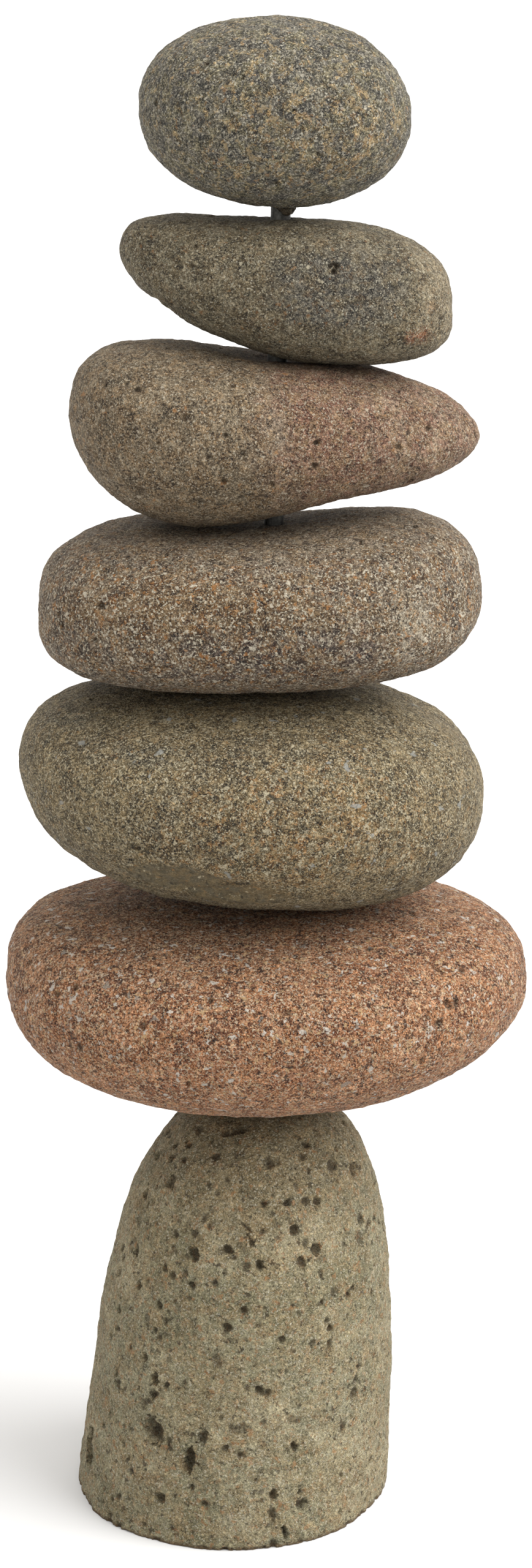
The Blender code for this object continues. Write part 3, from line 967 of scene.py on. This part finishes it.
# %% Cap stone: finish
def cap_finish():
    rock = Recipe("needle_rock")
    colour = drifting(rock, tone(112, 106, 96), tone(134, 128, 114), 20)
    field = rock.spot((36, -46, 688), (42, 40, 26), 0.5, 1.2)
    colour, relief = flecked(rock, colour, 0.0, (
        (tone(156, 145, 108), 6.5, 0.53, 0.6, 0.1),
        (tone(192, 164, 118), 5.0, 0.62 - field * 0.08, 0.8, 0.1),
        (tone(178, 144, 98), 4.4, 0.66 - field * 0.06, 0.65, 0.1),
        (tone(170, 126, 86), 3.2, 0.69 - field * 0.05, 0.5, 0.1),
        (tone(72, 72, 70), 4.2, 0.56, 0.55, -0.15),
    ))
    colour, relief = grained(rock, colour, relief, 1.5, tone(134, 124, 98))
    needles = rock.turned((0, 50, 0), (0.8, 0.8, 3.0))
    dark = rock.specks(1.0, 0.56, needles, 1.0)
    colour = rock.mix(dark * 0.5, colour, tone(62, 62, 60))
    colour, relief = flecked(rock, colour, relief, (
        (tone(222, 215, 194), 1.0, 0.605, 0.85, 0.1),
        (tone(196, 170, 126), 4.8, 0.67 - field * 0.04, 0.6, 0.15),
        (tone(184, 138, 88), 4.4, 0.7 - field * 0.04, 0.55, 0.15),
        (tone(228, 218, 196), 3.2, 0.69, 0.75, 0.15),
        (tone(44, 45, 45), 4.0, 0.655, 0.6, -0.3),
    ))
    return rock.finish(colour, relief - dark * 0.15, 0.8)


# %% [markdown]
# ### Rod and glue
#
# The rod is plain round bar with a dark mill skin: a metal, but a dull and grainy one, so it
# takes one broken streak of light. The glue bead is resin with stone dust rubbed into it.

# %% Rod and glue: finish
def rod_finish():
    steel = Recipe("dark_mill_steel")
    steel.shader.inputs["Metallic"].default_value = 1.0
    grit = steel.noise(0.5, 2.0, 0.7)
    colour = drifting(steel, tone(84, 83, 80), tone(112, 111, 107), 3.0)
    dull = steel.step(steel.noise(1.4, 3.0, 0.7), 0.4, 0.62)
    return steel.finish(colour, grit * 0.16, dull * 0.25 + 0.32)


def bead_finish():
    resin = Recipe("dusty_resin")
    colour = drifting(resin, tone(70, 62, 50), tone(112, 102, 84), 2.0)
    colour, relief = grained(resin, colour, 0.0, 0.9, tone(120, 104, 80), 0.8)
    return resin.finish(colour, relief * 0.5, 0.5)


# %% [markdown]
# ## The stones, made
#
# Each stone goes through the same steps as a real one: whole, ground where it rubbed, pitted,
# weathered, drilled last. Every stone could have its own script, but the steps differ only in
# their numbers, so one function takes a stone's row and a loop makes all six river stones.

# %% Finished pieces
def finished(skin, node, name, material):
    """The finished piece in the scene, in place of its plain solid."""
    piece = add_object(skin, name)
    piece.data.shade_smooth()
    piece.data.materials.clear()
    piece.data.materials.append(material)
    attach(piece, "root")
    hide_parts(node)
    print(name, len(piece.data.polygons), "faces")
    return piece


# %% Foot stone: made
FOOT_SEED = 7

foot_mesh = foot_skin()
foot_mesh.normal_update()
sink(foot_mesh, foot_pits(foot_mesh, random.Random(FOOT_SEED)), FOOT_SEED)
weather(foot_mesh, FOOT_WAVES, FOOT_SEED)
saw_flat(foot_mesh)
finished(drilled(foot_mesh), "foot_stone", "foot_stone_skin", foot_finish())

# %% River stones: pits
RIVER_WAVES = ((26, 0.7), (9, 0.5), (3.6, 0.36), (2.2, 0.22))

# Pits in the front: x, z, width, height, depth and lean.
RED_PITS = ((-83, 285, 3.4, 2.8, 1.6, 0), (90, 257, 3.0, 3.4, 1.5, 0), (78, 304, 2.6, 2.2, 1.2, 0))
OLIVE_PITS = ((-43, 361, 2.6, 2.4, 1.3, 0), (-40, 358, 2.2, 2.4, 1.1, 0))
OLIVE_FLATS = ((-12, 341, 72, 24, 1.8, -17),)
LOAF_PITS = (
    (-30, 493, 3.0, 2.6, 1.4, 0), (-5, 491, 2.6, 2.4, 1.2, 0), (35, 496, 3.0, 2.4, 1.3, 0),
    (-60, 472, 3.2, 3.6, 1.6, 15), (-79, 460, 3.0, 3.4, 1.4, 0), (-39, 443, 2.8, 2.4, 1.3, 0),
    (52, 441, 3.0, 2.6, 1.3, 0), (-24, 480, 2.4, 2.6, 1.2, 0), (-63, 456, 2.8, 2.4, 1.2, 0),
)
TAPERED_PITS = (
    (-43, 570, 2.8, 2.4, 1.4, 0), (-2, 551, 2.8, 2.6, 1.5, 0), (-3, 529, 2.8, 3.0, 1.5, 0),
    (-10, 541, 2.2, 2.6, 1.2, 20), (40, 547, 3.6, 3.2, 1.7, -20), (39, 536, 3.6, 2.6, 1.2, 0),
    (92, 550, 2.6, 3.0, 1.4, 0), (8, 553, 1.8, 1.8, 1.0, 0), (-33, 547, 2.4, 2.2, 1.2, 0),
    (1, 572, 2.2, 2.4, 1.2, 0), (5, 521, 2.4, 2.6, 1.2, 0), (12, 579, 2.2, 1.8, 1.1, 0),
    (-42, 523, 7.0, 5.0, 1.0, 0),
)
WEDGE_PITS = (
    (45.8, 626.4, 2.6, 3.6, 1.8, -22), (48.5, 626.2, 2.6, 3.6, 1.8, 22), (47.2, 623.8, 2.4, 3.4, 1.8, 0),
    (-18, 625, 2.2, 2.4, 1.1, 0), (-16, 634, 2.4, 1.8, 1.0, 0), (69, 604, 1.8, 1.8, 0.9, 0),
    (32, 615, 2.2, 2.2, 0.7, 0), (84, 587, 2.4, 2.0, 1.0, 0), (-2, 600, 2.2, 1.8, 0.9, 0),
)
WEDGE_FLATS = ((-28, 602, 40, 13, 1.3, -24), (92, 596, 24, 20, 1.0, 30))
CAP_PITS = (
    (-10, 717, 2.2, 2.8, 1.2, 0), (6, 711, 1.8, 2.2, 1.0, 0), (21, 663, 2.8, 2.2, 1.2, 0),
    (-34, 699, 2.0, 2.6, 1.0, 0), (47, 715, 2.0, 2.0, 1.0, 0), (29, 697, 2.4, 1.8, 1.1, 0),
    (68, 690, 2.0, 2.4, 1.0, 0), (40, 677, 2.2, 1.8, 1.0, 0),
)

# %% River stones: made
@dataclass
class RiverStone:
    """What sets one river stone apart. Sizes are in millimetres."""

    node: str
    cell: float             # width of the cells in its net
    placed: tuple           # rows of pits in the front
    seeded: tuple           # number of seeded pits, their widths, share of the usual depth
    finish: object          # the function that makes its finish
    flats: tuple = ()       # rows of ground places in the front


RIVER_STONES = (
    RiverStone("red_stone", 1.5, RED_PITS, (320, 1.4, 4.0, 1.0), red_finish),
    RiverStone("olive_stone", 1.45, OLIVE_PITS, (80, 1.2, 2.6, 1.0), olive_finish, OLIVE_FLATS),
    RiverStone("loaf_stone", 1.3, LOAF_PITS, (160, 1.4, 3.6, 1.0), loaf_finish),
    RiverStone("tapered_stone", 1.1, TAPERED_PITS, (120, 1.2, 3.0, 1.0), tapered_finish),
    RiverStone("wedge_stone", 0.92, WEDGE_PITS, (60, 1.2, 3.0, 1.0), wedge_finish, WEDGE_FLATS),
    RiverStone("cap_stone", 0.93, CAP_PITS, (60, 1.0, 2.6, 1.0), cap_finish),
)


def lying_skin(stone, seed):
    """The skin of one river stone: rounded, ground, pitted, weathered and drilled."""
    shell = uncut_shell(stone.node)
    fill_openings(shell)
    skin = even_skin(shell, stone.cell)
    ground(skin, stone.flats)
    draw = random.Random(seed)
    pits = front_pits(skin, stone.placed) + scattered_pits(skin, stone.seeded, draw)
    sink(skin, pits, seed)
    weather(skin, RIVER_WAVES, seed)
    return drilled(skin)


for seed, stone in enumerate(RIVER_STONES, 1):
    finished(lying_skin(stone, seed), stone.node, stone.node + "_skin", stone.finish())
bpy.data.objects.remove(drill)

# %% [markdown]
# ## Rod and glue bead
#
# The rod shows in two gaps between stones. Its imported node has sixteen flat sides, so it is
# made again as a finer cylinder with rounded ends. The bead is a squeezed drop of glue that
# picked up grit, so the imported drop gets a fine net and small, sharp lumps.

# %% Rod and glue: made
ROD_WIDTH = 9.4
ROD_FINE_SIDES = 64
ROD_END_ROUNDING = 0.5
BEAD_CELL = 0.35
BEAD_WAVES = ((2.6, 0.8), (1.2, 0.4), (0.7, 0.16))
BEAD_SEED = 8

rod_mesh = cylinder(ROD_WIDTH * MM, rod_low, rod_high, ROD_FINE_SIDES)
end_edges = [edge for edge in rod_mesh.edges
             if any(len(face.verts) > 4 for face in edge.link_faces)]
bmesh.ops.bevel(rod_mesh, geom=end_edges, offset=ROD_END_ROUNDING * MM, segments=3, affect="EDGES",
                profile=0.5, material=-1)
rod = finished(rod_mesh, "rod", "rod_bar", rod_finish())
rod.data.set_sharp_from_angle(angle=CUT_ANGLE)

bead_shell = bmesh.new()
bead_shell.from_mesh(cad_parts["glue_bead"].data)
bmesh.ops.remove_doubles(bead_shell, verts=bead_shell.verts, dist=WELD)
bead_mesh = even_skin(bead_shell, BEAD_CELL)
weather(bead_mesh, BEAD_WAVES, BEAD_SEED)
finished(bead_mesh, "glue_bead", "glue_bead_drop", bead_finish())
